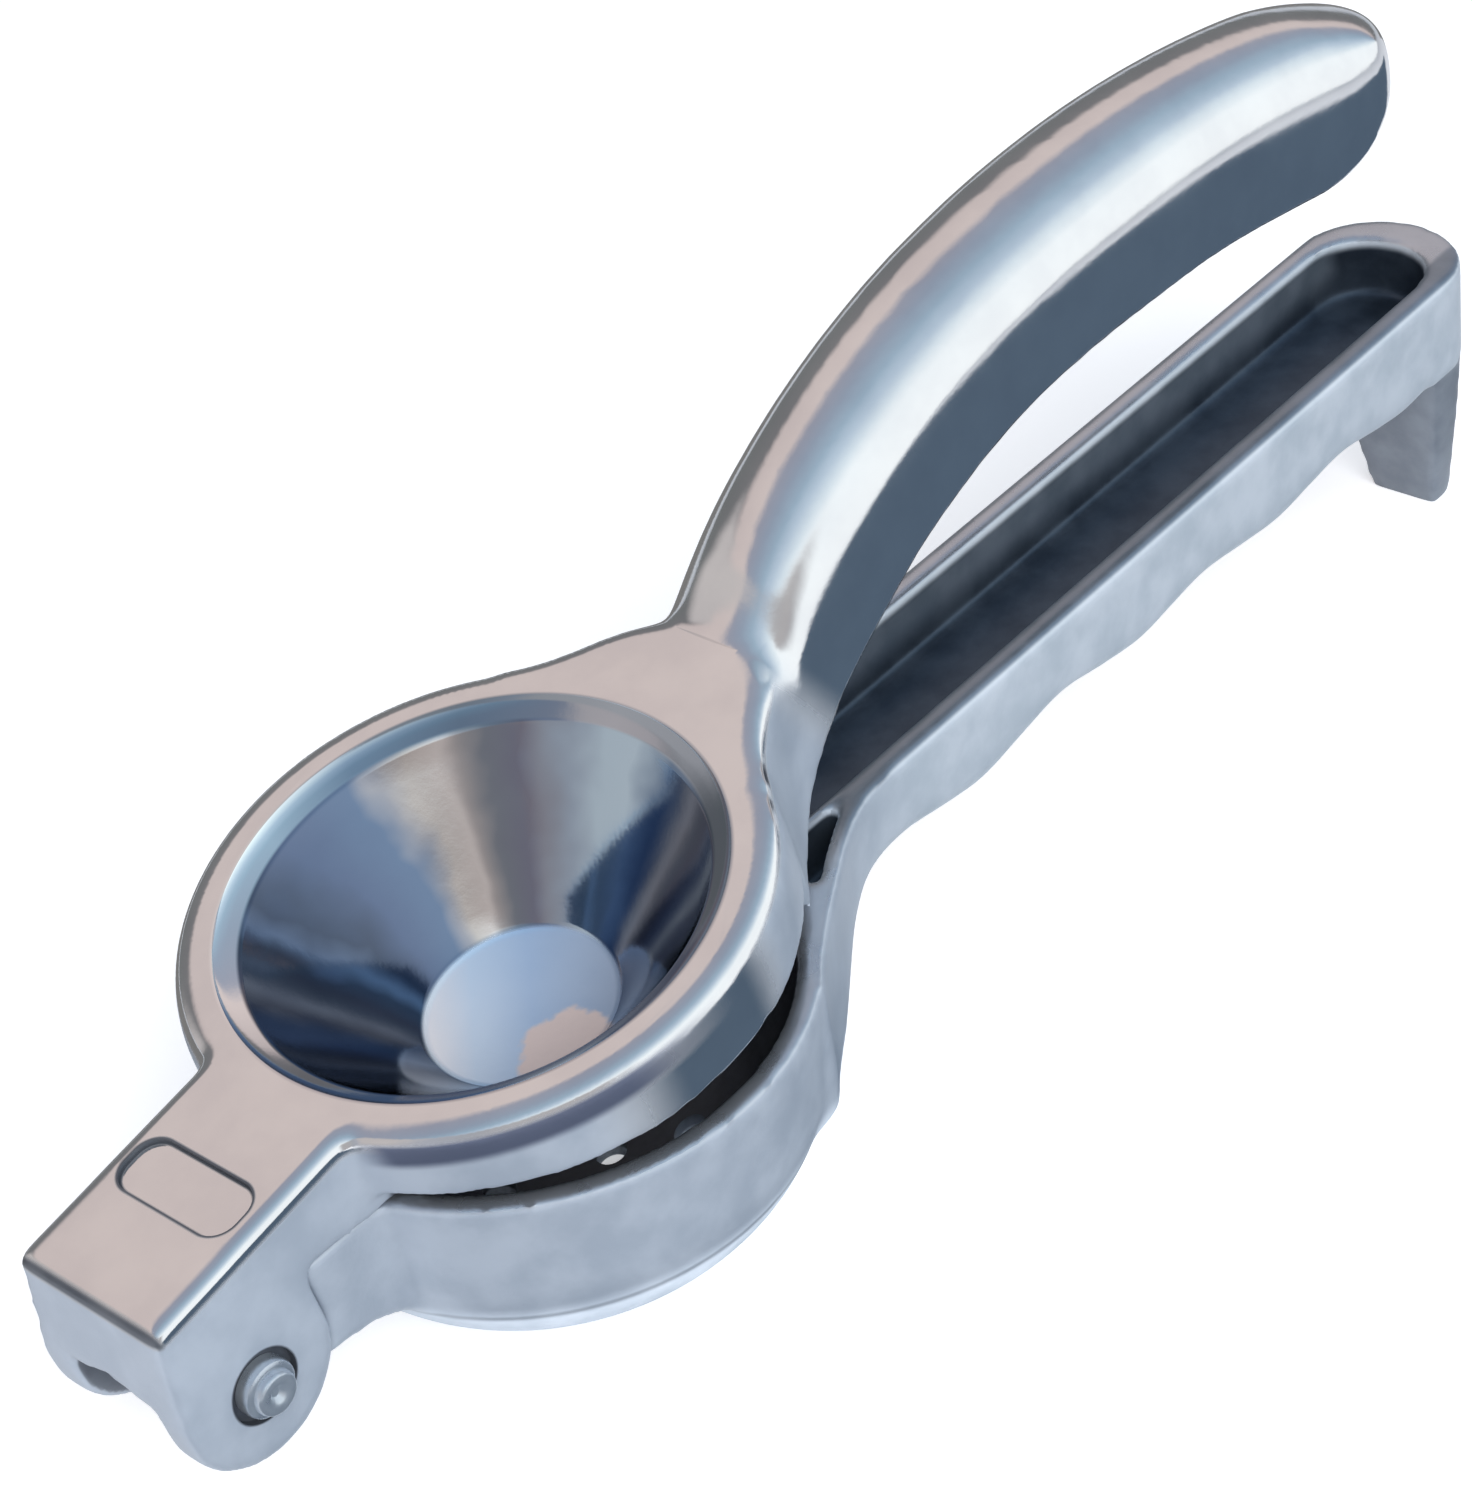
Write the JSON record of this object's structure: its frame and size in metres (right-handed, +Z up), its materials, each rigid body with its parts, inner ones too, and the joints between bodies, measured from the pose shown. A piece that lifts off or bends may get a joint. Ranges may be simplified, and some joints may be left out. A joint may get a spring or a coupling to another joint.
{
  "type": "hinged lemon squeezer",
  "caption": "Hinged lemon squeezer: a round presser cup on an arched handle closes into a domed bowl with drain holes on a straight channel handle that stands on a foot.",
  "frame": {"origin": "on the surface the squeezer stands on, under the centre of its overall box", "axes": "+X from the hinge to the handles' free ends, +Y across the levers along the hinge pin, +Z up"},
  "size_m": [0.222, 0.0606, 0.0812],
  "materials": {
    "cast_aluminium": "satin, lightly mottled as cast, polished rim",
    "polished_aluminium": "polished top and cup, satin flanks",
    "pin_steel": "turned and riveted, satin"
  },
  "bodies": {
    "lower_lever": {"lower_lever": "cast_aluminium"},
    "upper_lever": {"upper_lever": "polished_aluminium", "hinge_pin": "pin_steel"}
  },
  "joints": [
    {"name": "hinge", "type": "hinge", "parent": "lower_lever", "child": "upper_lever", "pos_m": [-0.10207, 0, 0.02169], "axis": [0, -1, 0], "range_deg": [0, 100]}
  ]
}
